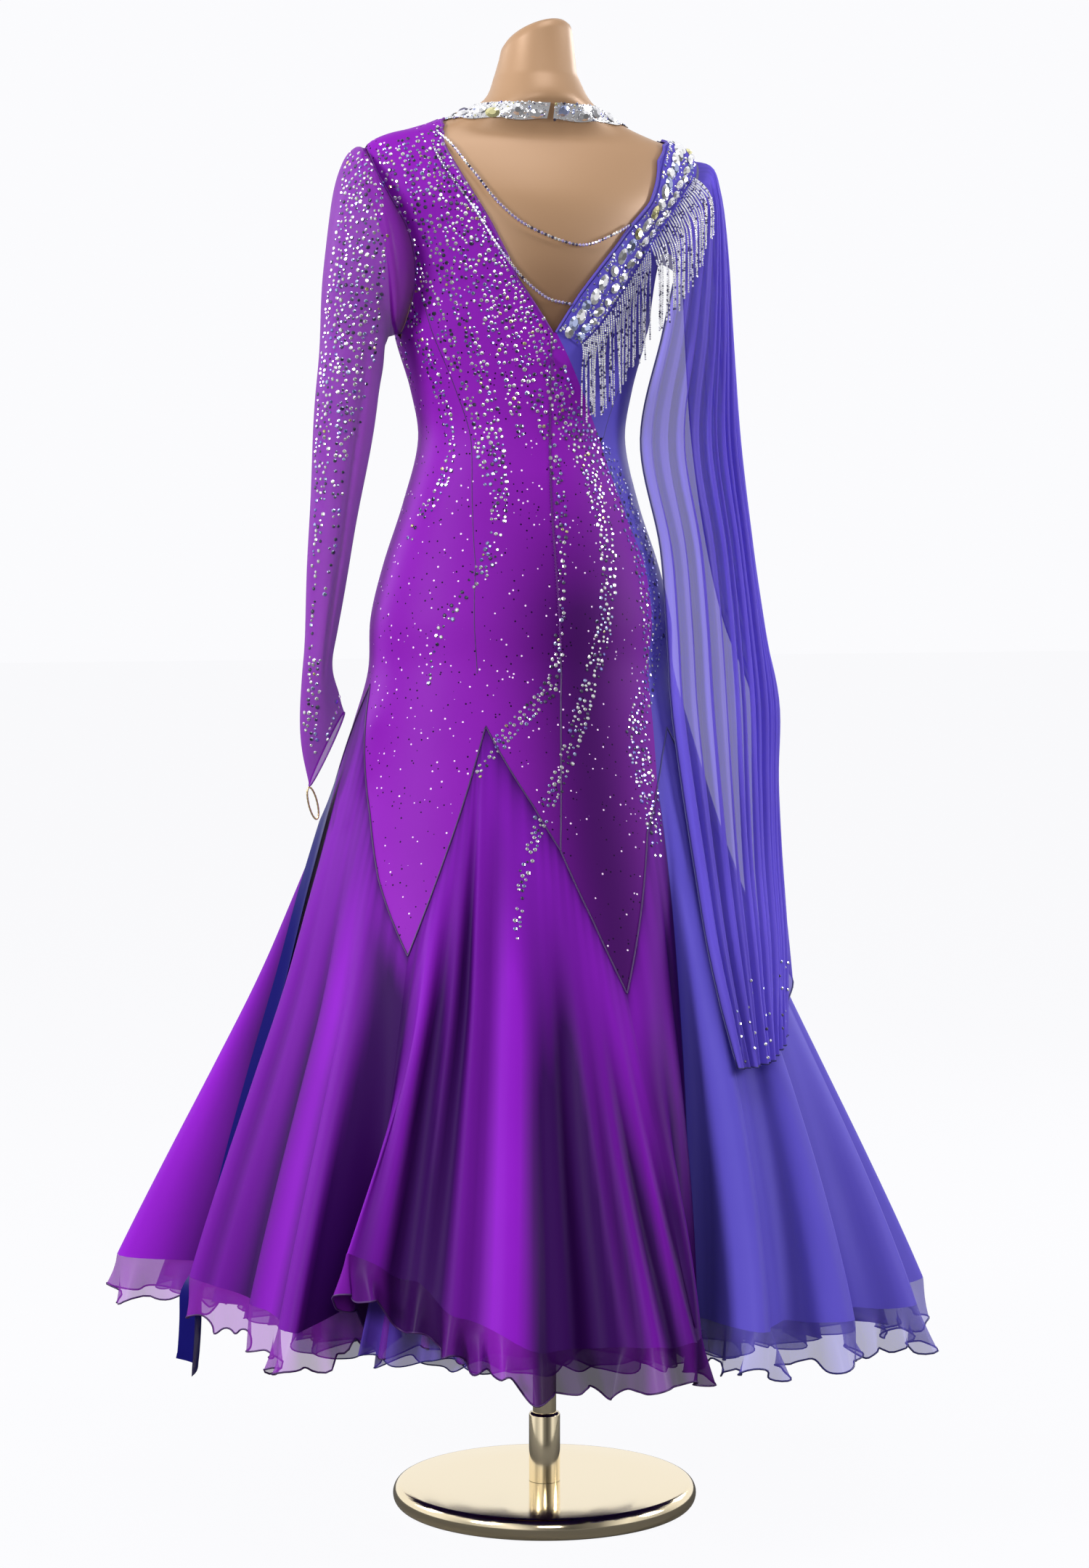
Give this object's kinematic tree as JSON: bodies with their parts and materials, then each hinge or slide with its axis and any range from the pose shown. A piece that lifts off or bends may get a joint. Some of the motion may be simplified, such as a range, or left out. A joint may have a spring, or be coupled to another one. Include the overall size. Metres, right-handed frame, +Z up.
{
  "type": "ballroom dance dress on a limbless dress form with a round base stand",
  "caption": "Purple and blue ballroom dance dress with an open back, one long sleeve and a full godet skirt, on a gold dress form and pole stand.",
  "frame": {"origin": "middle of the round base's underside, on the pole's axis", "axes": "+Z up along the pole, +Y the way the wearer faces, +X the wearer's right, so the open back faces -Y"},
  "size_m": [0.9313, 0.9444, 1.6923],
  "materials": {
    "form_skin": "satin",
    "champagne_gold": "polished",
    "purple_crepe": "satin",
    "blue_crepe": "satin",
    "purple_organza": "gloss",
    "blue_organza": "gloss",
    "blue_net": "matte",
    "power_net": "satin",
    "loop_gold": "satin",
    "blue_chiffon": "satin",
    "navy_satin": "gloss",
    "crystal": "polished",
    "silver_beads": "gloss",
    "lilac_beads": "gloss",
    "zip_enamel": "gloss"
  },
  "bodies": {
    "dress": {"form_torso": "form_skin", "stand_base": "champagne_gold", "stand_socket": "champagne_gold", "stand_pole": "champagne_gold", "back_side_left": "purple_crepe", "back_centre_left": "purple_crepe", "back_centre_right": "purple_crepe", "back_side_right": "blue_crepe", "back_yoke_right": "blue_crepe", "front_right": "blue_crepe", "front_left": "purple_crepe", "godet_front_left": "purple_crepe", "godet_side_left": "purple_crepe", "godet_back": "purple_crepe", "godet_back_right": "purple_crepe", "godet_right_back": "blue_crepe", "godet_side_right": "blue_crepe", "godet_front_right": "blue_crepe", "hem_frill_front_left": "purple_organza", "hem_frill_side_left": "purple_organza", "hem_frill_back": "purple_organza", "hem_frill_back_right": "purple_organza", "hem_frill_right_back": "blue_organza", "hem_frill_side_right": "blue_organza", "hem_frill_front_right": "blue_organza", "underskirt_outer": "blue_net", "sleeve_left": "power_net", "finger_loop": "loop_gold", "float_right": "blue_chiffon", "streamer_left": "navy_satin", "stone_band_right": "crystal", "bead_fringe": "silver_beads", "bead_strand_upper": "lilac_beads", "bead_strand_lower": "lilac_beads", "neck_collar": "crystal", "zip_slider": "zip_enamel"},
    "pull_tab": {"zip_pull": "zip_enamel"}
  },
  "joints": [
    {"name": "zip_pull_swing", "type": "hinge", "parent": "dress", "child": "pull_tab", "pos_m": [-0.01107, -0.05523, 1.30825], "axis": [-1, 0, 0], "range_deg": [0, 150]}
  ]
}
